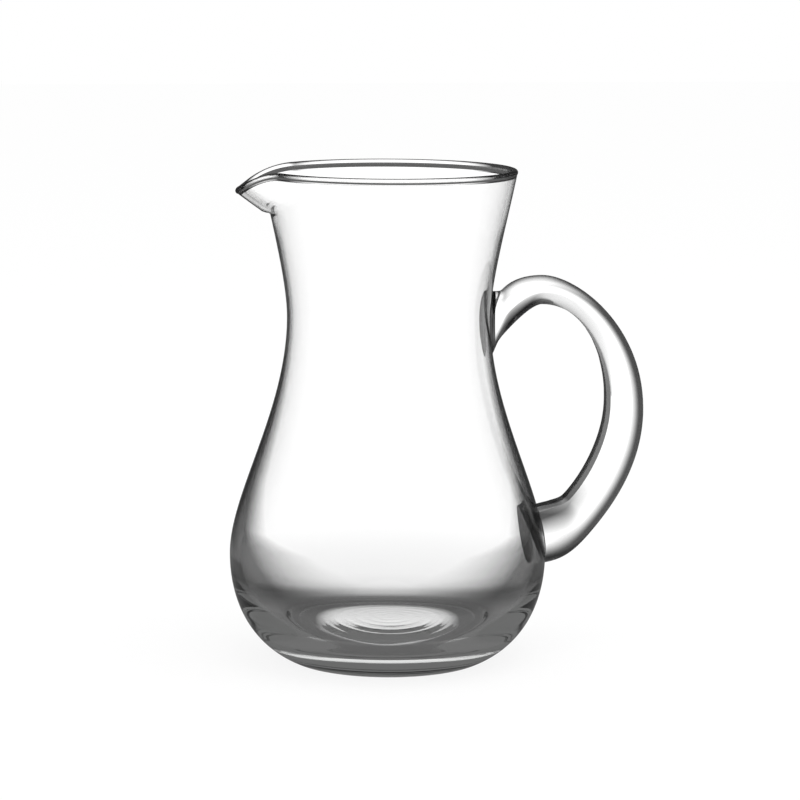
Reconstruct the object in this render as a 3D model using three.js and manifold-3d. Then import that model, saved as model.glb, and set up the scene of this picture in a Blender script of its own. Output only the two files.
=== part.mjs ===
// A clear glass pouring jug: one blown body with a pulled lip, and one solid handle laid on its wall.
// Millimetres, +Z up. The handle bows out to +X in the plane XZ. The lip points to -X, a little turned to +Y.
// Heights are from the table and radii from the jug's axis.
import * as THREE from 'three';
import { mergeVertices } from 'three/addons/utils/BufferGeometryUtils.js';
import Module from 'manifold-3d';

// Body, outside
const HEIGHT = 185;
const FOOT_RADIUS = 37;
const BOWL_RADIUS = 59.6;
const BOWL_HEIGHT = 39.7;
const NECK_RADIUS = 38.05;
const NECK_HEIGHT = 129.5;
const RIM_RADIUS = 47.5;
const HEEL_ANGLE = 25;
const FLARE_ANGLE = 79;

// Body, glass thickness
const BOWL_WALL = 4.2;
const NECK_WALL = 1.7;
const RIM_WALL = 1.9;
const BEAD_OVERHANG = 0.17;
const INNER_BOWL_HEIGHT = 38.5;

// Floor inside: a plateau that falls to a groove, and the corner where the wall starts
const BASE_THICKNESS = 13.6;
const PLATEAU_RADIUS = 32;
const PLATEAU_EDGE_HEIGHT = 12.75;
const PLATEAU_EDGE_ANGLE = 9;
const GROOVE_RADIUS = 39;
const GROOVE_HEIGHT = 11.15;
const GROOVE_ANGLE = 13.5;
const CORNER_RADIUS = 44.1;
const CORNER_HEIGHT = 13.5;
const CORNER_ANGLE = 47.4;

// Underside: a ring to stand on round a shallow hollow
const RING_WIDTH = 3.5;
const RING_ROUND = 0.8;
const HOLLOW_DEPTH = 0.6;
const HOLLOW_EDGE_ANGLE = 15;

// Pouring lip, bent out of the mouth
const LIP_TURN = 12;
const LIP_HINGE_HEIGHT = 168;
const LIP_HINGE_RADIUS = 42;
const LIP_BEND = 42.3;
const LIP_FLAT_ANGLE = 5;
const LIP_HALF_ANGLE = 35;
const LIP_BEND_LENGTH = 3.5;

// Handle, outer edge: the pad on the neck, the notch above it, the crest, the grip, the bend and the lower pad
const UPPER_PAD_TOP = 138.6;
const UPPER_PAD_ROOT = 33;
const NOTCH_RADIUS = 43.7;
const NOTCH_HEIGHT = 139.3;
const CREST_RADIUS = 58.5;
const CREST_HEIGHT = 144.3;
const HANDLE_REACH = 98.5;
const HANDLE_REACH_HEIGHT = 92;
const BEND_RADIUS = 80.6;
const BEND_HEIGHT = 47.9;
const LOWER_PAD_BOTTOM = 33.7;
const LOWER_PAD_ROOT = 54;

// Handle, inner edge, opposite those places
const UPPER_PAD_BOTTOM = 108.3;
const UPPER_PAD_INNER_ROOT = 36.5;
const ARM_RADIUS = 45.4;
const ARM_HEIGHT = 123.8;
const CREST_THICKNESS = 11;
const GRIP_THICKNESS = 14;
const GRIP_INNER_HEIGHT = 96;
const CROOK_RADIUS = 68.5;
const CROOK_HEIGHT = 58.6;
const LOWER_PAD_TOP = 54.2;
const WELD_GAP = 0.3;

// Handle, half width across its plane, roundness and flatness of its inner face, at the same six places
const UPPER_PAD_HALF_WIDTH = 5;
const ARM_HALF_WIDTH = 7;
const CREST_HALF_WIDTH = 6.6;
const GRIP_HALF_WIDTH = 7.8;
const BEND_HALF_WIDTH = 8.2;
const LOWER_PAD_HALF_WIDTH = 10.5;
const INNER_ROUNDNESS = [1, 1.7, 1.5, 1, 1, 1];
const INNER_FLATNESS = [1, 1, 1, 1.4, 1.45, 1.35];

// Facets
const BODY_SEGMENTS = 72;
const BEAD_STEPS = 6;
const HANDLE_STEPS = 8;
const SECTION_SIDES = 28;

// The jug's axis stands off the origin, so that the whole part is centred on it
const AXIS_X = (BOWL_RADIUS - HANDLE_REACH) / 2;

// The bead of the melted rim, and the top of the wall that it sits on
const BEAD_RADIUS = RIM_WALL / 2 + BEAD_OVERHANG;
const BEAD_LIFT = Math.sqrt(BEAD_RADIUS ** 2 - (RIM_WALL / 2) ** 2);
const FLARE = THREE.MathUtils.degToRad(FLARE_ANGLE);
const WALL_TOP = HEIGHT - BEAD_RADIUS - BEAD_LIFT * Math.sin(FLARE) - RIM_WALL / 2 * Math.cos(FLARE);

const wasm = await Module();
wasm.setup();

function xy(x, y) {
  return new THREE.Vector2(x, y);
}

function along(point, heading, distance) {
  const angle = THREE.MathUtils.degToRad(heading);
  return xy(Math.cos(angle), Math.sin(angle)).multiplyScalar(distance).add(point);
}

// A smooth curve through stations. Each has a place, a heading in degrees, the reach of its tangents
// as a share of the way to the station before or after it, and the number of steps that lead up to it.
function smoothCurve(stations) {
  const points = [stations[0].at];
  for (let i = 1; i < stations.length; i += 1) {
    const from = stations[i - 1];
    const to = stations[i];
    const way = from.at.distanceTo(to.at);
    const leave = along(from.at, from.heading, from.after * way);
    const arrive = along(to.at, to.heading, -to.before * way);
    const curve = new THREE.CubicBezierCurve(from.at, leave, arrive, to.at);
    points.push(...curve.getPoints(to.steps).slice(1));
  }
  return points;
}

// Radius and height along the outside, from the ring of the foot to the rim
function outsideProfile() {
  const heel = along(xy(FOOT_RADIUS, 0), HEEL_ANGLE, RING_ROUND);
  return smoothCurve([
    { at: xy(FOOT_RADIUS - RING_ROUND, 0), heading: 0, after: 0.26 },
    { at: heel, heading: HEEL_ANGLE, before: 0.26, after: 0.355, steps: 2 },
    { at: xy(BOWL_RADIUS, BOWL_HEIGHT), heading: 90, before: 0.393, after: 0.241, steps: 9 },
    { at: xy(NECK_RADIUS, NECK_HEIGHT), heading: 90, before: 0.383, after: 0.253, steps: 9 },
    { at: xy(RIM_RADIUS, WALL_TOP), heading: FLARE_ANGLE, before: 0.302, steps: 12 },
  ]);
}

// Radius and height along the inside, from the middle of the floor to the rim
function insideProfile() {
  const plateau = xy(PLATEAU_RADIUS, PLATEAU_EDGE_HEIGHT);
  const groove = xy(GROOVE_RADIUS, GROOVE_HEIGHT);
  const corner = xy(CORNER_RADIUS, CORNER_HEIGHT);
  const rim = along(xy(RIM_RADIUS, WALL_TOP), FLARE_ANGLE + 90, RIM_WALL);
  return smoothCurve([
    { at: xy(0, BASE_THICKNESS), heading: 0, after: 0.562 },
    { at: plateau, heading: -PLATEAU_EDGE_ANGLE, before: 0.25, after: 0.418, steps: 3 },
    { at: groove, heading: -GROOVE_ANGLE, before: 0.418, after: 0.392, steps: 2 },
    { at: corner, heading: CORNER_ANGLE, before: 0.463, after: 0.171, steps: 3 },
    { at: xy(BOWL_RADIUS - BOWL_WALL, INNER_BOWL_HEIGHT), heading: 90, before: 0.507, after: 0.226, steps: 6 },
    { at: xy(NECK_RADIUS - NECK_WALL, NECK_HEIGHT), heading: 90, before: 0.376, after: 0.251, steps: 9 },
    { at: rim, heading: FLARE_ANGLE, before: 0.3, steps: 12 },
  ]);
}

// The round of the melted rim, from the outside over to the inside. It swells a little past the wall.
function rimBead(outside, inside) {
  const middle = outside.at(-1).clone().lerp(inside.at(-1), 0.5);
  const centre = along(middle, FLARE_ANGLE, BEAD_LIFT);
  const swell = Math.asin(BEAD_LIFT / BEAD_RADIUS);
  const start = FLARE - Math.PI / 2 - swell;
  const end = start + Math.PI + 2 * swell;
  const bead = new THREE.EllipseCurve(centre.x, centre.y, BEAD_RADIUS, BEAD_RADIUS, start, end);
  return bead.getPoints(BEAD_STEPS).slice(1, -1);
}

// The underside, from the middle of the hollow to the inner edge of the ring
function underside() {
  const ring = xy(FOOT_RADIUS - RING_WIDTH, 0);
  return smoothCurve([
    { at: xy(0, HOLLOW_DEPTH), heading: 0, after: 0.716 },
    { at: ring, heading: -HOLLOW_EDGE_ANGLE, before: 0.09, steps: 4 },
  ]);
}

function revolve(profile) {
  return new THREE.LatheGeometry(profile, BODY_SEGMENTS).rotateX(Math.PI / 2);
}

// Bends the top of the wall outwards round a hinge line, most in the middle of the lip
function pullLip(geometry) {
  const position = geometry.attributes.position;
  const p = new THREE.Vector3();
  for (let i = 0; i < position.count; i += 1) {
    p.fromBufferAttribute(position, i);
    const above = p.z - LIP_HINGE_HEIGHT;
    const side = Math.abs(THREE.MathUtils.radToDeg(Math.atan2(p.y, -p.x)) - LIP_TURN);
    if (above <= 0 || side >= LIP_HALF_ANGLE) continue;
    const share = 1 - THREE.MathUtils.smoothstep(side, LIP_FLAT_ANGLE, LIP_HALF_ANGLE);
    const bend = THREE.MathUtils.degToRad(LIP_BEND * share * Math.min(above / LIP_BEND_LENGTH, 1));
    const radius = Math.hypot(p.x, p.y);
    const out = radius - LIP_HINGE_RADIUS;
    const newRadius = LIP_HINGE_RADIUS + out * Math.cos(bend) + above * Math.sin(bend);
    const newHeight = LIP_HINGE_HEIGHT + above * Math.cos(bend) - out * Math.sin(bend);
    position.setXYZ(i, p.x * newRadius / radius, p.y * newRadius / radius, newHeight);
  }
  return geometry;
}

function jugBody() {
  const outside = outsideProfile();
  const inside = insideProfile();
  const profile = [
    ...underside(),
    ...outside,
    ...rimBead(outside, inside),
    ...inside.reverse(),
  ];
  return pullLip(revolve(profile));
}

// The two edges of the handle in its plane, from the upper pad to the lower one
function handleEdges() {
  const steps = HANDLE_STEPS;
  const crestInside = xy(CREST_RADIUS, CREST_HEIGHT - CREST_THICKNESS);
  const gripInside = xy(HANDLE_REACH - GRIP_THICKNESS, GRIP_INNER_HEIGHT);
  const outer = smoothCurve([
    { at: xy(UPPER_PAD_ROOT, UPPER_PAD_TOP), heading: 0, after: 0.839 },
    { at: xy(NOTCH_RADIUS, NOTCH_HEIGHT), heading: 44, before: 0.168, after: 0.179, steps },
    { at: xy(CREST_RADIUS, CREST_HEIGHT), heading: 0, before: 0.576, after: 0.207, steps },
    { at: xy(HANDLE_REACH, HANDLE_REACH_HEIGHT), heading: -90, before: 0.491, after: 0.357, steps },
    { at: xy(BEND_RADIUS, BEND_HEIGHT), heading: -129.6, before: 0.351, after: 0.464, steps },
    { at: xy(LOWER_PAD_ROOT, LOWER_PAD_BOTTOM), heading: -180, before: 0.431, steps },
  ]);
  const inner = smoothCurve([
    { at: xy(UPPER_PAD_INNER_ROOT, UPPER_PAD_BOTTOM), heading: 61, after: 0.703 },
    { at: xy(ARM_RADIUS, ARM_HEIGHT), heading: 46, before: 0.477, after: 0.185, steps },
    { at: crestInside, heading: 0, before: 0.247, after: 0.334, steps },
    { at: gripInside, heading: -90, before: 0.451, after: 0.492, steps },
    { at: xy(CROOK_RADIUS, CROOK_HEIGHT), heading: -146, before: 0.06, after: 0.2, steps },
    { at: xy(LOWER_PAD_ROOT, LOWER_PAD_TOP), heading: -163.5, before: 0.6, steps },
  ]);
  return { outer, inner };
}

// A value at each step along the handle, eased between those at its six places
function eased(stations) {
  const values = [stations[0]];
  for (let i = 1; i < stations.length; i += 1) {
    for (let step = 1; step <= HANDLE_STEPS; step += 1) {
      const ease = THREE.MathUtils.smoothstep(step / HANDLE_STEPS, 0, 1);
      values.push(THREE.MathUtils.lerp(stations[i - 1], stations[i], ease));
    }
  }
  return values;
}

// A closed solid lofted between the two edges: round outside, with an inner face that is flat from the grip down
function loftHandle() {
  const { outer, inner } = handleEdges();
  const halfWidths = eased([
    UPPER_PAD_HALF_WIDTH, ARM_HALF_WIDTH, CREST_HALF_WIDTH,
    GRIP_HALF_WIDTH, BEND_HALF_WIDTH, LOWER_PAD_HALF_WIDTH]);
  const roundness = eased(INNER_ROUNDNESS);
  const flatness = eased(INNER_FLATNESS);
  const vertices = [];
  const triangles = [];
  outer.forEach((edge, ring) => {
    const middle = edge.clone().lerp(inner[ring], 0.5);
    const half = edge.clone().sub(middle);
    for (let k = 0; k < SECTION_SIDES; k += 1) {
      const angle = 2 * Math.PI * k / SECTION_SIDES;
      const c = Math.cos(angle);
      const inwards = Math.min(Math.abs(c) ** roundness[ring] * flatness[ring], 1);
      const reach = c > 0 ? c : -inwards;
      const across = halfWidths[ring] * Math.sin(angle);
      vertices.push(middle.x + half.x * reach, across, middle.y + half.y * reach);
    }
  });
  const rings = outer.length;
  for (let ring = 0; ring + 1 < rings; ring += 1) {
    for (let k = 0; k < SECTION_SIDES; k += 1) {
      const next = (k + 1) % SECTION_SIDES;
      const a = ring * SECTION_SIDES + k;
      const b = ring * SECTION_SIDES + next;
      triangles.push(a, b + SECTION_SIDES, b, a, a + SECTION_SIDES, b + SECTION_SIDES);
    }
  }
  const last = (rings - 1) * SECTION_SIDES;
  for (let k = 1; k + 1 < SECTION_SIDES; k += 1) {
    triangles.push(0, k, k + 1, last, last + k + 1, last + k);
  }
  const geometry = new THREE.BufferGeometry();
  geometry.setAttribute('position', new THREE.Float32BufferAttribute(vertices, 3));
  geometry.setIndex(triangles);
  return geometry;
}

// The space that the body takes up, grown by the gap at the weld
function wallSpace() {
  const points = outsideProfile();
  const grown = points.map((point, i) => {
    const before = points[Math.max(i - 1, 0)];
    const after = points[Math.min(i + 1, points.length - 1)];
    const tangent = after.clone().sub(before).normalize();
    return xy(point.x + tangent.y * WELD_GAP, point.y - tangent.x * WELD_GAP);
  });
  const bottom = xy(0, grown[0].y);
  const top = xy(0, grown.at(-1).y);
  return revolve([bottom, ...grown, top]);
}

function toSolid(geometry) {
  geometry.deleteAttribute('normal');
  geometry.deleteAttribute('uv');
  const merged = mergeVertices(geometry, 1e-4);
  return new wasm.Manifold(new wasm.Mesh({
    numProp: 3,
    vertProperties: new Float32Array(merged.attributes.position.array),
    triVerts: new Uint32Array(merged.index.array),
  }));
}

function toGeometry(solid) {
  const mesh = solid.getMesh();
  const geometry = new THREE.BufferGeometry();
  geometry.setAttribute('position', new THREE.BufferAttribute(mesh.vertProperties, 3));
  geometry.setIndex(new THREE.BufferAttribute(mesh.triVerts, 1));
  geometry.computeVertexNormals();
  return geometry;
}

function handle() {
  return toGeometry(toSolid(loftHandle()).subtract(toSolid(wallSpace())));
}

function glass() {
  return new THREE.MeshStandardMaterial({
    color: 0xeef1ef, roughness: 0.03, metalness: 0, transparent: true, opacity: 0.35 });
}

function namedMesh(name, geometry) {
  const mesh = new THREE.Mesh(geometry, glass());
  mesh.name = name;
  return mesh;
}

const jug = new THREE.Group();
jug.position.x = AXIS_X;
jug.add(namedMesh('jug_body', jugBody()));
jug.add(namedMesh('handle', handle()));

const part = new THREE.Group();
part.add(jug);

export default part;
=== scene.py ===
"""A clear glass pouring jug on a pale floor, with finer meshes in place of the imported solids.

Sizes of the jug and the camera are in millimetres, as in the part's own drawing. Those of the materials
and the studio are in metres. The handle bows out to +X. The lip points to -X, a little turned to +Y.
Heights are from the floor and radii from the jug's axis.
"""
import math

import bmesh
import bpy
from mathutils import Matrix, Vector


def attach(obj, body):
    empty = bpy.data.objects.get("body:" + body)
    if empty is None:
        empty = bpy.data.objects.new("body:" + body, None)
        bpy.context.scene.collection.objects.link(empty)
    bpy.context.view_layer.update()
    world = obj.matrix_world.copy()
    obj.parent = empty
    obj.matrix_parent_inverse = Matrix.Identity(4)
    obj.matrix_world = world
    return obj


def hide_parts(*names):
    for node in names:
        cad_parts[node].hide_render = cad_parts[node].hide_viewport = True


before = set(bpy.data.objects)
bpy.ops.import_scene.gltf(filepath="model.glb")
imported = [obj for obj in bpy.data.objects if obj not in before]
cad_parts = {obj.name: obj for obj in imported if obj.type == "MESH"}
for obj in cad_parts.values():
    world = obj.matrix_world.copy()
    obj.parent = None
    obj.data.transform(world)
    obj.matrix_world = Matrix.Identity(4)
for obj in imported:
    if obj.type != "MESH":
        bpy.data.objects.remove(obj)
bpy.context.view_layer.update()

MM = 0.001

# Body, outside
HEIGHT = 185
FOOT_RADIUS = 37
BOWL_RADIUS = 59.6
BOWL_HEIGHT = 39.7
NECK_RADIUS = 38.05
NECK_HEIGHT = 129.5
RIM_RADIUS = 47.5
HEEL_ANGLE = 25
FLARE_ANGLE = 79

# Body, glass thickness
BOWL_WALL = 4.2
NECK_WALL = 1.7
RIM_WALL = 1.9
BEAD_OVERHANG = 0.17
INNER_BOWL_HEIGHT = 38.5

# Floor inside: a plateau that falls to a groove, and the corner where the wall starts
BASE_THICKNESS = 13.6
PLATEAU_RADIUS = 32
PLATEAU_EDGE_HEIGHT = 12.75
PLATEAU_EDGE_ANGLE = 9
GROOVE_RADIUS = 39
GROOVE_HEIGHT = 11.15
GROOVE_ANGLE = 13.5
CORNER_RADIUS = 44.1
CORNER_HEIGHT = 13.5
CORNER_ANGLE = 47.4

# Underside: a ring to stand on round a shallow hollow
RING_WIDTH = 3.5
RING_ROUND = 0.8
HOLLOW_DEPTH = 0.6
HOLLOW_EDGE_ANGLE = 15

# Marks of turning in the hollow: coarse and fine rings, a little off centre, that fade to its middle and
# edge. The rate of the fine ones is in radians for each millimetre.
SWIRL_DEPTH = 0.02
SWIRL_MIDDLE = 1.5, -1
SWIRL_PITCH = 4.2
FINE_SWIRL_RATE = 3.1
FINE_SWIRL_SHARE = 0.6
SWIRL_FADE = 6
SWIRL_MARGIN = 2

# Pouring lip, bent out of the mouth
LIP_TURN = 12
LIP_HINGE_HEIGHT = 168
LIP_HINGE_RADIUS = 42
LIP_BEND = 42.3
LIP_FLAT_ANGLE = 5
LIP_HALF_ANGLE = 35
LIP_BEND_LENGTH = 3.5

# Handle, outer edge: the pad on the neck, the notch above it, the crest, the grip, the bend and the lower pad
UPPER_PAD_TOP = 138.6
UPPER_PAD_ROOT = 33
NOTCH_RADIUS = 43.7
NOTCH_HEIGHT = 139.3
CREST_RADIUS = 58.5
CREST_HEIGHT = 144.3
HANDLE_REACH = 98.5
HANDLE_REACH_HEIGHT = 92
BEND_RADIUS = 80.6
BEND_HEIGHT = 47.9
LOWER_PAD_BOTTOM = 33.7
LOWER_PAD_ROOT = 54

# Handle, inner edge, opposite those places
UPPER_PAD_BOTTOM = 108.3
UPPER_PAD_INNER_ROOT = 36.5
ARM_RADIUS = 45.4
ARM_HEIGHT = 123.8
CREST_THICKNESS = 11
GRIP_THICKNESS = 14
GRIP_INNER_HEIGHT = 96
CROOK_RADIUS = 68.5
CROOK_HEIGHT = 58.6
LOWER_PAD_TOP = 54.2
WELD_OVERLAP = 0.1

# Handle, half width across its plane, roundness and flatness of its inner face, at the same six places
HALF_WIDTHS = (5, 7, 6.6, 7.8, 8.2, 10.5)
INNER_ROUNDNESS = (1, 1.7, 1.5, 1, 1, 1)
INNER_FLATNESS = (1, 1, 1, 1.4, 1.45, 1.35)

# The bead of the melted rim, and the top of the wall that it sits on
BEAD_RADIUS = RIM_WALL / 2 + BEAD_OVERHANG
BEAD_LIFT = math.sqrt(BEAD_RADIUS ** 2 - (RIM_WALL / 2) ** 2)
FLARE = math.radians(FLARE_ANGLE)
WALL_TOP = HEIGHT - BEAD_RADIUS - BEAD_LIFT * math.sin(FLARE) - RIM_WALL / 2 * math.cos(FLARE)

# The jug's axis in the frame of the part
AXIS_X = (BOWL_RADIUS - HANDLE_REACH) / 2

# Fineness of the meshes
BODY_SEGMENTS = 192
BODY_STEP = 1.4
LEAST_STEPS = 8
HOLLOW_STEPS = 72
BEAD_STEPS = 14
HANDLE_STEPS = 28
SECTION_SIDES = 72
CAP_RINGS = 8
SHARP_ANGLE = 40

# Kinds of faces, kept on the vertices: those of the body, and those of the handle
FACE_KIND = "face_kind"
INSIDE, OUTSIDE, BEAD, CREASE = 0, 1, 2, 3
ROD, PAD, WELD = 0, 1, 2

# Rings of the body in the creases where the bead meets the wall, and rings of the handle that are its pads
OUTER_CREASE_RINGS = 2
INNER_CREASE_RINGS = 2
UPPER_PAD_RINGS = 5
LOWER_PAD_RINGS = 1

# The photograph's camera: its place about the axis, and the point in the middle of its picture
CAMERA_AZIMUTH = -10
CAMERA_DISTANCE = 1180.7
CAMERA_HEIGHT = 279.6
CAMERA_ROLL = 0.33
CAMERA_LENS = 143.1
SENSOR_WIDTH = 36
AIM_RIGHT = 4.4
AIM_HEIGHT = 97.95

# Glass
GLASS_IOR = 1.52
GLASS_DENSITY = 2.0
GLASS_TINT = (0.86, 0.9, 0.87, 1)

# Painted shade darkens the edges: an outer face lets in all light up to a first slant, and least from a
# second one on. A slant of 0 is square on and 1 is along the face. The body has tables of (height, value).
FULL_SLANT = ((0.03, 0), (0.036, 0.02), (0.043, 0.05), (0.048, 0.12), (0.053, 0.37), (0.07, 0.5),
              (0.12, 0.63), (0.16, 0.65), (0.17, 0.7))
LEAST_SLANT = ((0.03, 0.3), (0.036, 0.37), (0.043, 0.47), (0.053, 0.62), (0.07, 0.7), (0.12, 0.78),
               (0.16, 0.8), (0.17, 0.92))
LEAST_LIGHT = ((0.026, 1), (0.034, 0.22), (0.05, 0.18), (0.1, 0.09))
TABLE_TOP = 0.2

# The rim: painted shade on the edges of its bead, in the same way, and in the creases at both sides of it
BEAD_SLANTS = 0.25, 0.45
BEAD_LEAST = 0.04
CREASE_LIGHT = 0.1

# Painted shade on the rod of the handle, by how far a face leans up: 0 faces down, 0.5 is upright and 1 faces
# up
ROD_FULL_SLANT = ((0.75, 0.08), (0.83, 0.2), (0.9, 0.25), (0.965, 0.36), (1, 0.4))
ROD_LEAST_SLANT = ((0.75, 0.42), (0.83, 0.65), (0.9, 0.7), (0.965, 0.81), (1, 0.85))
ROD_LEAST = 0.07

# Its inner face, which leans to the jug, gets less painted shade
INNER_LEANS = -0.5, -0.8
INNER_LEAST = 0.2

# Its crest has less painted shade on the side that looks down at the jug
UNDER_CREST = (-0.6, 0, -0.8)
CREST_FACINGS = 0.25, 0.55
CREST_HEIGHTS = 0.1, 0.12
CREST_LEAST = 0.35

# Its lower arm has painted shade on top, where the jug stands over it, but for the flat facet
LOWER_ARM_HEIGHTS = 0.066, 0.054
LOWER_ARM_LEANS = 0.08, 0.42
LOWER_ARM_LIGHT = 0.11
FACET_LEANS = 0.75, 0.9
FACET_LIGHT = 0.5

# Its pads have painted shade, in streaks. The weld, where they meet the wall, is clear when it is seen square
# on.
STREAK_STRETCH = (900, 900, 40)
STREAK_DETAIL = 2.0
STREAK_RANGE = 0.4, 0.7
STREAK_LIGHT = 0.03, 0.1
WELD_SLANTS = 0.14, 0.04
WELD_CLEAR = 0.85

# Faint scuffs, long and thin, that cross at a slant
SCUFF_TURN = (0.5, 0.3, 0.2)
SCUFF_STRETCH = (30, 300, 900)
SCUFF_DETAIL = 1.0
SCUFF_RANGE = 0.7, 0.8
SCUFF_ROUGHNESS = 0.12

# Studio: a white wall all round under a dark ceiling, and a floor that glass shows with a painted shadow
# round the jug and a painted pool of light under the middle of its base. The wall's table is by the way that
# light comes from, 0.5 level and 1 straight up, and the floor's are by the distance from the jug's axis.
WHITE = (1, 1, 1, 1)
AMBIENT = 1.0
BACKDROP = 1.0
REFLECTED = 0.06
MIRRORED = 0.9
WALL_BEHIND_GLASS = ((0.7, 1.23), (0.8, 0.25))
FLOOR_BEHIND_GLASS = ((0.022, 1.3), (0.027, 0.1), (0.07, 0.1), (0.082, 0.25), (0.09, 0.5), (0.098, 0.8),
                      (0.12, 0.98), (0.2, 1.1), (0.3, 1.23))

# Light that glass mirrors often, or that crosses it often, is weak. Turns and crossings are whole numbers,
# so their limits lie half way between two of them.
WEAK = 0.15
ANY = 0.5
WEAK_TURNS = 3.5
WEAK_CROSSINGS = 2.5
# Mirrored in glass, the floor near the jug has painted shade, down to the weak level; reflected, it has that
# weak level there too
FLOOR_MIRRORED = ((0.25, WEAK), (0.4, MIRRORED))
FLOOR_REFLECTED = ((0.25, WEAK), (0.35, REFLECTED))

# The floor glows white, and a share of it takes light and shadow
FLOOR_SIZE = 4.0
FLOOR_COLOUR = (0.9, 0.9, 0.9, 1)
FLOOR_SHADE = 0.12

LAMP_PLACE = (0.3, -0.4, 1.6)
LAMP_SIZE = 1.2
LAMP_POWER = 12

# Enough turns for light to find its way out of the base
ALL_BOUNCES = 32
GLASS_BOUNCES = 24


# Shapes

def along(at, heading, distance):
    angle = math.radians(heading)
    return at[0] + distance * math.cos(angle), at[1] + distance * math.sin(angle)


def smoothstep(t):
    return t * t * (3 - 2 * t)


def bezier(a, b, c, d, t):
    u = 1 - t
    weights = (u ** 3, 3 * u * u * t, 3 * u * t * t, t ** 3)
    return tuple(sum(w * p[i] for w, p in zip(weights, (a, b, c, d))) for i in (0, 1))


def smooth_curve(stations, steps=None):
    """Points on a smooth curve through stations of (point, heading in degrees, reach before, reach after).

    The reach of a tangent is a share of the way to the station before or after it.
    """
    points = [stations[0][0]]
    for (a, heading_a, _, after), (d, heading_d, before, _) in zip(stations, stations[1:]):
        way = math.dist(a, d)
        b = along(a, heading_a, after * way)
        c = along(d, heading_d, -before * way)
        count = steps or max(LEAST_STEPS, round(way / BODY_STEP))
        points += [bezier(a, b, c, d, i / count) for i in range(1, count + 1)]
    return points


def outside_profile():
    """Radius and height along the outside, from the ring of the foot to the rim."""
    return smooth_curve([
        ((FOOT_RADIUS - RING_ROUND, 0), 0, 0, 0.26),
        (along((FOOT_RADIUS, 0), HEEL_ANGLE, RING_ROUND), HEEL_ANGLE, 0.26, 0.355),
        ((BOWL_RADIUS, BOWL_HEIGHT), 90, 0.393, 0.241),
        ((NECK_RADIUS, NECK_HEIGHT), 90, 0.383, 0.253),
        ((RIM_RADIUS, WALL_TOP), FLARE_ANGLE, 0.302, 0),
    ])


def inside_profile():
    """Radius and height along the inside, from the middle of the floor to the rim."""
    rim = along((RIM_RADIUS, WALL_TOP), FLARE_ANGLE + 90, RIM_WALL)
    return smooth_curve([
        ((0, BASE_THICKNESS), 0, 0, 0.562),
        ((PLATEAU_RADIUS, PLATEAU_EDGE_HEIGHT), -PLATEAU_EDGE_ANGLE, 0.25, 0.418),
        ((GROOVE_RADIUS, GROOVE_HEIGHT), -GROOVE_ANGLE, 0.418, 0.392),
        ((CORNER_RADIUS, CORNER_HEIGHT), CORNER_ANGLE, 0.463, 0.171),
        ((BOWL_RADIUS - BOWL_WALL, INNER_BOWL_HEIGHT), 90, 0.507, 0.226),
        ((NECK_RADIUS - NECK_WALL, NECK_HEIGHT), 90, 0.376, 0.251),
        (rim, FLARE_ANGLE, 0.3, 0),
    ])


def rim_bead(outside_end, inside_end):
    """The round of the melted rim, from the outside over to the inside. It swells a little past the wall."""
    middle = [(a + b) / 2 for a, b in zip(outside_end, inside_end)]
    centre = along(middle, FLARE_ANGLE, BEAD_LIFT)
    swell = math.degrees(math.asin(BEAD_LIFT / BEAD_RADIUS))
    start = FLARE_ANGLE - 90 - swell
    turn = 180 + 2 * swell
    return [along(centre, start + turn * i / BEAD_STEPS, BEAD_RADIUS) for i in range(1, BEAD_STEPS)]


def underside():
    """Radius and height from the middle of the hollow to the inner edge of the ring."""
    return smooth_curve([
        ((0, HOLLOW_DEPTH), 0, 0, 0.716),
        ((FOOT_RADIUS - RING_WIDTH, 0), -HOLLOW_EDGE_ANGLE, 0.09, 0),
    ], HOLLOW_STEPS)


def swirl(x, y, z):
    """Lifts or lowers a point of the hollow by the marks of turning."""
    middle_x, middle_y = SWIRL_MIDDLE
    radius = math.hypot(x - middle_x, y - middle_y)
    turn = math.atan2(y, x)
    edge = FOOT_RADIUS - RING_WIDTH - SWIRL_MARGIN
    fade = min(radius / SWIRL_FADE, 1) * math.sqrt(max(0, 1 - radius / edge))
    coarse = math.sin(2 * math.pi * radius / SWIRL_PITCH + turn)
    fine = math.sin(radius * FINE_SWIRL_RATE + 2 * turn)
    return x, y, z + SWIRL_DEPTH * fade * (coarse + FINE_SWIRL_SHARE * fine)


def pull_lip(x, y, z):
    """Bends the top of the wall outwards round a hinge line, most in the middle of the lip."""
    above = z - LIP_HINGE_HEIGHT
    side = abs(math.degrees(math.atan2(y, -x)) - LIP_TURN)
    if above <= 0 or side >= LIP_HALF_ANGLE:
        return x, y, z
    share = smoothstep(min((LIP_HALF_ANGLE - side) / (LIP_HALF_ANGLE - LIP_FLAT_ANGLE), 1))
    bend = math.radians(LIP_BEND * share * min(above / LIP_BEND_LENGTH, 1))
    radius = math.hypot(x, y)
    out = radius - LIP_HINGE_RADIUS
    new_radius = LIP_HINGE_RADIUS + out * math.cos(bend) + above * math.sin(bend)
    new_height = LIP_HINGE_HEIGHT + above * math.cos(bend) - out * math.sin(bend)
    return x * new_radius / radius, y * new_radius / radius, new_height


def to_frame(x, y, z):
    """A point about the jug's axis, in millimetres, as a point of the part's frame, in metres."""
    return Vector(((x + AXIS_X) * MM, y * MM, z * MM))


def new_glass_mesh():
    bm = bmesh.new()
    bm.verts.layers.float.new(FACE_KIND)
    return bm


def add_vert(bm, point, kind):
    vert = bm.verts.new(to_frame(*point))
    vert[bm.verts.layers.float[FACE_KIND]] = kind
    return vert


def bridge(bm, ring_a, ring_b):
    """Quads between two closed rings of vertices."""
    count = len(ring_a)
    for i in range(count):
        j = (i + 1) % count
        bm.faces.new((ring_a[i], ring_a[j], ring_b[j], ring_b[i]))


def fan(bm, ring, tip):
    for a, b in zip(ring, ring[1:] + ring[:1]):
        bm.faces.new((a, b, tip))


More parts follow.
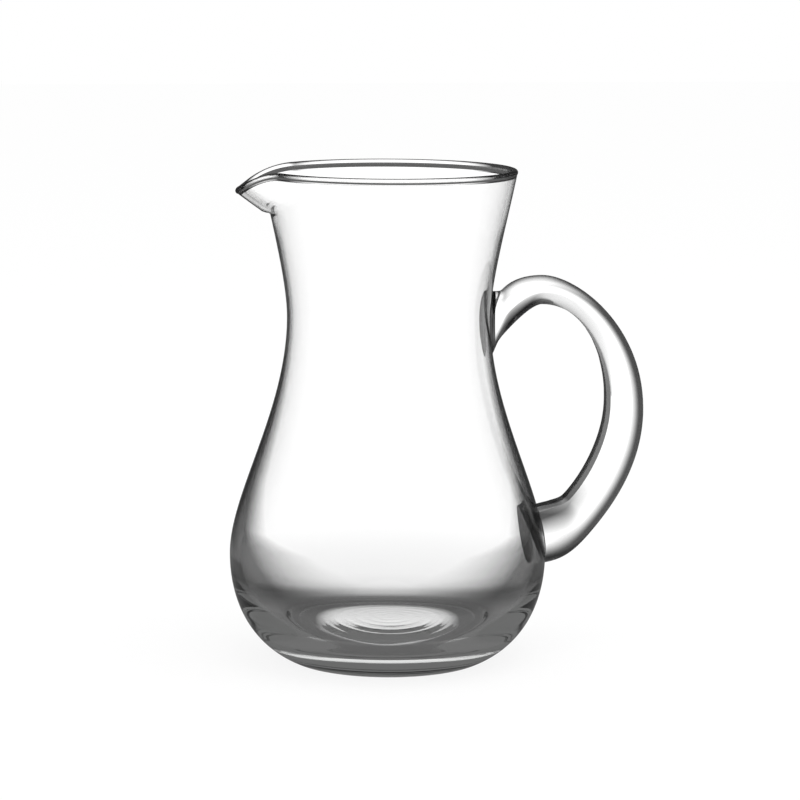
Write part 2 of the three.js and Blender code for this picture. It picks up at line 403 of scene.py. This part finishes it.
def new_piece(name, bm, material):
    bmesh.ops.recalc_face_normals(bm, faces=bm.faces)
    mesh = bpy.data.meshes.new(name)
    bm.to_mesh(mesh)
    bm.free()
    mesh.shade_smooth()
    mesh.set_sharp_from_angle(angle=math.radians(SHARP_ANGLE))
    mesh.materials.append(material)
    piece = bpy.data.objects.new(name, mesh)
    bpy.context.scene.collection.objects.link(piece)
    return piece


def make_body(material):
    """Rings from the hollow of the underside, up the outside, over the rim and down to the floor inside."""
    under = underside()[1:]
    outside = outside_profile()
    inside = inside_profile()[:0:-1]
    profile = under + outside + rim_bead(outside[-1], inside[0]) + inside
    kinds = ([INSIDE] * len(under) + [OUTSIDE] * (len(outside) - 1)
             + [CREASE] * OUTER_CREASE_RINGS + [BEAD] * (BEAD_STEPS - OUTER_CREASE_RINGS)
             + [CREASE] * INNER_CREASE_RINGS + [INSIDE] * (len(inside) - INNER_CREASE_RINGS))
    turns = [2 * math.pi * i / BODY_SEGMENTS for i in range(BODY_SEGMENTS)]
    bm = new_glass_mesh()
    rings = []
    for count, ((radius, height), kind) in enumerate(zip(profile, kinds)):
        work = swirl if count < len(under) else pull_lip
        points = [work(radius * math.cos(turn), radius * math.sin(turn), height) for turn in turns]
        rings.append([add_vert(bm, point, kind) for point in points])
    for ring_a, ring_b in zip(rings, rings[1:]):
        bridge(bm, ring_a, ring_b)
    fan(bm, rings[0], add_vert(bm, (0, 0, HOLLOW_DEPTH), INSIDE))
    fan(bm, rings[-1], add_vert(bm, (0, 0, BASE_THICKNESS), INSIDE))
    return new_piece("jug_body_glass", bm, material)


def handle_edges():
    """The two edges of the handle in the plane of symmetry, from the upper pad to the lower one."""
    outer = smooth_curve([
        ((UPPER_PAD_ROOT, UPPER_PAD_TOP), 0, 0, 0.839),
        ((NOTCH_RADIUS, NOTCH_HEIGHT), 44, 0.168, 0.179),
        ((CREST_RADIUS, CREST_HEIGHT), 0, 0.576, 0.207),
        ((HANDLE_REACH, HANDLE_REACH_HEIGHT), -90, 0.491, 0.357),
        ((BEND_RADIUS, BEND_HEIGHT), -129.6, 0.351, 0.464),
        ((LOWER_PAD_ROOT, LOWER_PAD_BOTTOM), -180, 0.431, 0),
    ], HANDLE_STEPS)
    inner = smooth_curve([
        ((UPPER_PAD_INNER_ROOT, UPPER_PAD_BOTTOM), 61, 0, 0.703),
        ((ARM_RADIUS, ARM_HEIGHT), 46, 0.477, 0.185),
        ((CREST_RADIUS, CREST_HEIGHT - CREST_THICKNESS), 0, 0.247, 0.334),
        ((HANDLE_REACH - GRIP_THICKNESS, GRIP_INNER_HEIGHT), -90, 0.451, 0.492),
        ((CROOK_RADIUS, CROOK_HEIGHT), -146, 0.06, 0.2),
        ((LOWER_PAD_ROOT, LOWER_PAD_TOP), -163.5, 0.6, 0),
    ], HANDLE_STEPS)
    return outer, inner


def between_stations(values, step):
    """A value at a step along the handle, eased between those at its six places."""
    station, within = divmod(step, HANDLE_STEPS)
    if station >= len(values) - 1:
        return values[-1]
    a, b = values[station], values[station + 1]
    return a + (b - a) * smoothstep(within / HANDLE_STEPS)


def handle_lines():
    """Lines of points along the handle, one for each side of its section."""
    outer, inner = handle_edges()
    lines = [[] for _ in range(SECTION_SIDES)]
    for step, (edge, opposite) in enumerate(zip(outer, inner)):
        middle = [(a + b) / 2 for a, b in zip(edge, opposite)]
        half = [a - m for a, m in zip(edge, middle)]
        half_width = between_stations(HALF_WIDTHS, step)
        roundness = between_stations(INNER_ROUNDNESS, step)
        flatness = between_stations(INNER_FLATNESS, step)
        for k, line in enumerate(lines):
            angle = 2 * math.pi * k / SECTION_SIDES
            c = math.cos(angle)
            reach = c if c > 0 else -min(abs(c) ** roundness * flatness, 1)
            line.append(Vector((middle[0] + half[0] * reach, half_width * math.sin(angle),
                                middle[1] + half[1] * reach)))
    return lines


def interpolate(table, x):
    """The value at x in a table of (x, value) with rising x."""
    low, high = 0, len(table) - 1
    while high - low > 1:
        middle = (low + high) // 2
        if table[middle][0] <= x:
            low = middle
        else:
            high = middle
    (xa, a), (xb, b) = table[low], table[high]
    return a + (b - a) * (x - xa) / (xb - xa)


def at_step(line, step):
    whole = min(int(step), len(line) - 2)
    return line[whole].lerp(line[whole + 1], step - whole)


def crossing(line, clearance, steps):
    """The step, in the order given, where a line of the handle comes out of the wall."""
    before = None
    for step in steps:
        now = clearance(line[step])
        if now > 0 and before is not None:
            last, was = before
            return last + (step - last) * was / (was - now)
        before = step, now
    return steps[-1]


def make_handle(material):
    """The rod, cut to fit the wall at both ends."""
    wall = [(height, radius - WELD_OVERLAP) for radius, height in outside_profile()]

    def clearance(point):
        return math.hypot(point.x, point.y) - interpolate(wall, point.z)

    lines = handle_lines()
    last = len(lines[0]) - 1
    spans = [(crossing(line, clearance, range(last + 1)), crossing(line, clearance, range(last, -1, -1)))
             for line in lines]
    sections = [[at_step(line, start + (end - start) * i / last) for line, (start, end) in zip(lines, spans)]
                for i in range(last + 1)]
    bm = new_glass_mesh()
    rings = []
    for i, section in enumerate(sections):
        kind = PAD if i < UPPER_PAD_RINGS or i > last - LOWER_PAD_RINGS else ROD
        rings.append([add_vert(bm, point, kind) for point in section])
    for ring_a, ring_b in zip(rings, rings[1:]):
        bridge(bm, ring_a, ring_b)
    for end in (0, last):
        close_on_wall(bm, rings[end], sections[end], wall)
    return new_piece("handle_glass", bm, material)


def close_on_wall(bm, edge, section, wall):
    """Closes an end of the handle with rings that shrink to a point and follow the wall."""
    turns = [math.atan2(p.y, p.x) for p in section]
    heights = [p.z for p in section]
    middle_turn = sum(turns) / len(turns)
    middle_height = sum(heights) / len(heights)

    def weld_vert(turn, height):
        radius = interpolate(wall, height)
        return add_vert(bm, (radius * math.cos(turn), radius * math.sin(turn), height), WELD)

    outer = edge
    for ring in range(1, CAP_RINGS):
        share = 1 - ring / CAP_RINGS
        inner = [weld_vert(middle_turn + (turn - middle_turn) * share,
                           middle_height + (height - middle_height) * share)
                 for turn, height in zip(turns, heights)]
        bridge(bm, outer, inner)
        outer = inner
    fan(bm, outer, weld_vert(middle_turn, middle_height))


# Nodes

def node(tree, kind, **inputs):
    """A new node. Each input is given by its name, or by its number after an underscore."""
    made = tree.nodes.new(kind)
    for name, value in inputs.items():
        socket = made.inputs[int(name[1:]) if name[1:].isdigit() else name.replace("_", " ")]
        if isinstance(value, bpy.types.NodeSocket):
            tree.links.new(value, socket)
        else:
            socket.default_value = value
    return made


def math_node(tree, operation, a, b):
    made = node(tree, "ShaderNodeMath", _0=a, _1=b)
    made.operation = operation
    return made.outputs[0]


def product(tree, a, b):
    return math_node(tree, "MULTIPLY", a, b)


def greater(tree, a, b):
    return math_node(tree, "GREATER_THAN", a, b)


def vector_math(tree, operation, a, b):
    made = node(tree, "ShaderNodeVectorMath", _0=a, _1=b)
    made.operation = operation
    return made.outputs


def choose(tree, switch, off, on):
    """off where the switch is 0, on where it is 1, and a mix between."""
    return node(tree, "ShaderNodeMix", _0=switch, _2=off, _3=on).outputs[0]


def map_range(tree, value, span, low=0.0, high=1.0):
    """From low at the start of the span to high at its end, and level past both."""
    start, end = span
    return node(tree, "ShaderNodeMapRange", _0=value, _1=start, _2=end, _3=low, _4=high).outputs[0]


def ramp(tree, at, stops):
    """Levels between stops of (place, level), with places from 0 to 1."""
    made = node(tree, "ShaderNodeValToRGB", _0=at)
    ends = made.color_ramp.elements
    for stop, (place, level) in zip(ends, (stops[0], stops[-1])):
        stop.position = place
        stop.color = (level, level, level, 1)
    for place, level in stops[1:-1]:
        ends.new(place).color = (level, level, level, 1)
    return made.outputs[0]


def geometry(tree, output):
    return tree.nodes.new("ShaderNodeNewGeometry").outputs[output]


def object_place(tree):
    return tree.nodes.new("ShaderNodeTexCoord").outputs["Object"]


def parts_of(tree, vector):
    return node(tree, "ShaderNodeSeparateXYZ", _0=vector).outputs


def face_kind(tree):
    kind = tree.nodes.new("ShaderNodeAttribute")
    kind.attribute_name = FACE_KIND
    return kind.outputs["Fac"]


def new_material(name):
    material = bpy.data.materials.new(name)
    material.use_nodes = True
    tree = material.node_tree
    tree.nodes.clear()
    return material, tree, tree.nodes.new("ShaderNodeOutputMaterial")


# Glass

def glass_material(name, painted_shade):
    """Clear glass, with painted shade in its base colour.

    The given function of the tree and the slant is the share of light that a face lets in. A crossing
    takes the root of the base colour, so the share is squared.
    """
    material, tree, output = new_material(name)
    slant = tree.nodes.new("ShaderNodeLayerWeight").outputs["Facing"]
    # The painted shade goes into the base colour, on front faces only
    share = choose(tree, geometry(tree, "Backfacing"), painted_shade(tree, slant), 1.0)
    surface = node(tree, "ShaderNodeBsdfPrincipled", Base_Color=product(tree, share, share),
                   Roughness=scuffs(tree), IOR=GLASS_IOR, Transmission_Weight=1.0)
    tree.links.new(surface.outputs[0], output.inputs["Surface"])
    volume = node(tree, "ShaderNodeVolumeAbsorption", Color=GLASS_TINT, Density=GLASS_DENSITY)
    tree.links.new(volume.outputs[0], output.inputs["Volume"])
    return material


def scuffs(tree):
    """The roughness: none but for the scuffs."""
    turned = node(tree, "ShaderNodeMapping", Vector=object_place(tree), Rotation=SCUFF_TURN,
                  Scale=SCUFF_STRETCH)
    lines = node(tree, "ShaderNodeTexNoise", Vector=turned.outputs[0], Scale=1.0, Detail=SCUFF_DETAIL)
    return map_range(tree, lines.outputs[0], SCUFF_RANGE, 0.0, SCUFF_ROUGHNESS)


def body_painted_shade(tree, slant):
    """Painted shade on the edges of the wall, by height, and on the lines of the rim. The inside has none."""
    height = math_node(tree, "DIVIDE", parts_of(tree, geometry(tree, "Position"))["Z"], TABLE_TOP)
    full, least, light = (ramp(tree, height, [(z / TABLE_TOP, value) for z, value in table])
                          for table in (FULL_SLANT, LEAST_SLANT, LEAST_LIGHT))
    wall = map_range(tree, slant, (full, least), 1.0, light)
    kind = face_kind(tree)
    bead = map_range(tree, slant, BEAD_SLANTS, 1.0, BEAD_LEAST)
    rim = choose(tree, greater(tree, kind, (BEAD + CREASE) / 2), bead, CREASE_LIGHT)
    outside = choose(tree, greater(tree, kind, (OUTSIDE + BEAD) / 2), wall, rim)
    return choose(tree, math_node(tree, "MINIMUM", kind, OUTSIDE), 1.0, outside)


def handle_painted_shade(tree, slant):
    """Painted shade on the edges of the rod, on the top of its lower arm, and on its pads."""
    normal = geometry(tree, "Normal")
    lean_out, _, lean_up = parts_of(tree, normal)
    height = parts_of(tree, geometry(tree, "Position"))["Z"]
    rod = rod_share(tree, slant, lean_out, lean_up, under_crest(tree, normal, height))
    on_top = product(tree, map_range(tree, lean_up, LOWER_ARM_LEANS),
                     map_range(tree, height, LOWER_ARM_HEIGHTS))
    top = choose(tree, map_range(tree, lean_up, FACET_LEANS), LOWER_ARM_LIGHT, FACET_LIGHT)
    kind = face_kind(tree)
    on_pad = greater(tree, kind, (ROD + PAD) / 2)
    return choose(tree, on_pad, choose(tree, on_top, rod, top), pad_share(tree, slant, kind))


def under_crest(tree, normal, height):
    """1 on the side of the crest that looks down at the jug, and 0 elsewhere."""
    facing = vector_math(tree, "DOT_PRODUCT", normal, UNDER_CREST)["Value"]
    return product(tree, map_range(tree, facing, CREST_FACINGS), map_range(tree, height, CREST_HEIGHTS))


def rod_share(tree, slant, lean_out, lean_up, clear):
    """The rod with painted shade on its edges. It fades where clear is 1."""
    lean = map_range(tree, lean_up, (-1.0, 1.0))
    full, least = (ramp(tree, lean, table) for table in (ROD_FULL_SLANT, ROD_LEAST_SLANT))
    span = choose(tree, clear, full, 0.0), choose(tree, clear, least, 1.0)
    light = map_range(tree, slant, span, 1.0, 0.0)
    inner = map_range(tree, lean_out, INNER_LEANS)
    darkest = choose(tree, clear, choose(tree, inner, ROD_LEAST, INNER_LEAST), CREST_LEAST)
    return choose(tree, product(tree, light, light), darkest, 1.0)


def pad_share(tree, slant, kind):
    """Painted shade in streaks on the pads, lifted on the weld behind them where it is seen square on."""
    stretched = vector_math(tree, "MULTIPLY", object_place(tree), STREAK_STRETCH)[0]
    streaks = node(tree, "ShaderNodeTexNoise", Vector=stretched, Scale=1.0, Detail=STREAK_DETAIL)
    dark = map_range(tree, streaks.outputs[0], STREAK_RANGE, *STREAK_LIGHT)
    square_on = map_range(tree, slant, WELD_SLANTS)
    on_weld = greater(tree, kind, (PAD + WELD) / 2)
    return choose(tree, product(tree, on_weld, square_on), dark, WELD_CLEAR)


# Studio

def seen_level(tree, behind, mirrored, reflected, diffuse):
    """White for the camera, and levels for what is behind glass, what glass mirrors and soft light.

    Light that turned in the glass is mirrored, and light that turned on its outside is reflected.
    """
    path = tree.nodes.new("ShaderNodeLightPath").outputs
    turns, crossings = path["Glossy Depth"], path["Transmission Depth"]
    weak = math_node(tree, "MAXIMUM", greater(tree, turns, WEAK_TURNS),
                     greater(tree, crossings, WEAK_CROSSINGS))
    from_inside = choose(tree, weak, mirrored, WEAK)
    turned = choose(tree, greater(tree, crossings, ANY), reflected, from_inside)
    straight = choose(tree, path["Is Transmission Ray"], diffuse, behind)
    level = choose(tree, greater(tree, turns, ANY), straight, turned)
    return choose(tree, path["Is Camera Ray"], level, BACKDROP)


def make_world():
    world = bpy.data.worlds.new("studio")
    bpy.context.scene.world = world
    world.use_nodes = True
    tree = world.node_tree
    tree.nodes.clear()
    way = parts_of(tree, tree.nodes.new("ShaderNodeTexCoord").outputs["Generated"])
    wall = ramp(tree, map_range(tree, way["Z"], (-1.0, 1.0)), WALL_BEHIND_GLASS)
    background = node(tree, "ShaderNodeBackground", Color=WHITE,
                      Strength=seen_level(tree, wall, MIRRORED, REFLECTED, AMBIENT))
    output = tree.nodes.new("ShaderNodeOutputWorld")
    tree.links.new(background.outputs[0], output.inputs[0])


def make_floor():
    bm = bmesh.new()
    bmesh.ops.create_grid(bm, x_segments=1, y_segments=1, size=FLOOR_SIZE)
    material, tree, output = new_material("floor")
    distance = vector_math(tree, "DISTANCE", geometry(tree, "Position"), to_frame(0, 0, 0))["Value"]
    # Levels by distance from the axis, seen only in glass: painted shadow round the jug and a painted pool of
    # light under it
    behind, mirrored, reflected = (ramp(tree, distance, table)
                                   for table in (FLOOR_BEHIND_GLASS, FLOOR_MIRRORED, FLOOR_REFLECTED))
    diffuse = node(tree, "ShaderNodeBsdfDiffuse", Color=FLOOR_COLOUR)
    glow = node(tree, "ShaderNodeEmission", Color=WHITE,
                Strength=seen_level(tree, behind, mirrored, reflected, 0.0))
    mixed = node(tree, "ShaderNodeMixShader", _0=1 - FLOOR_SHADE, _1=diffuse.outputs[0], _2=glow.outputs[0])
    tree.links.new(mixed.outputs[0], output.inputs["Surface"])
    floor = new_piece("floor", bm, material)


def make_lamp():
    light = bpy.data.lights.new("overhead", "AREA")
    light.size = LAMP_SIZE
    light.energy = LAMP_POWER
    lamp = bpy.data.objects.new("overhead", light)
    lamp.location = LAMP_PLACE
    lamp.rotation_euler = (-Vector(LAMP_PLACE)).to_track_quat("-Z", "Y").to_euler()
    lamp.visible_glossy = False
    lamp.visible_transmission = False
    bpy.context.scene.collection.objects.link(lamp)


def make_camera():
    azimuth = math.radians(CAMERA_AZIMUTH)
    right = Vector((math.cos(azimuth), math.sin(azimuth), 0))
    back = Vector((math.sin(azimuth), -math.cos(azimuth), 0))
    place = to_frame(*(back * CAMERA_DISTANCE)) + Vector((0, 0, CAMERA_HEIGHT * MM))
    aim = to_frame(*(right * AIM_RIGHT)) + Vector((0, 0, AIM_HEIGHT * MM))
    data = bpy.data.cameras.new("camera")
    data.sensor_width = SENSOR_WIDTH
    data.lens = CAMERA_LENS
    camera = bpy.data.objects.new("camera", data)
    turn = (aim - place).to_track_quat("-Z", "Y").to_matrix().to_4x4()
    roll = Matrix.Rotation(math.radians(CAMERA_ROLL), 4, "Z")
    camera.matrix_world = Matrix.Translation(place) @ turn @ roll
    bpy.context.scene.collection.objects.link(camera)
    bpy.context.scene.camera = camera


body = make_body(glass_material("clear_glass", body_painted_shade))
handle = make_handle(glass_material("clear_handle_glass", handle_painted_shade))
for piece, replaced in ((body, "jug_body"), (handle, "handle")):
    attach(piece, "root")
    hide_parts(replaced)

make_world()
make_floor()
make_lamp()
make_camera()
bpy.context.scene.view_settings.view_transform = "Standard"

light_paths = bpy.context.scene.cycles
light_paths.max_bounces = ALL_BOUNCES
light_paths.glossy_bounces = GLASS_BOUNCES
light_paths.transmission_bounces = GLASS_BOUNCES
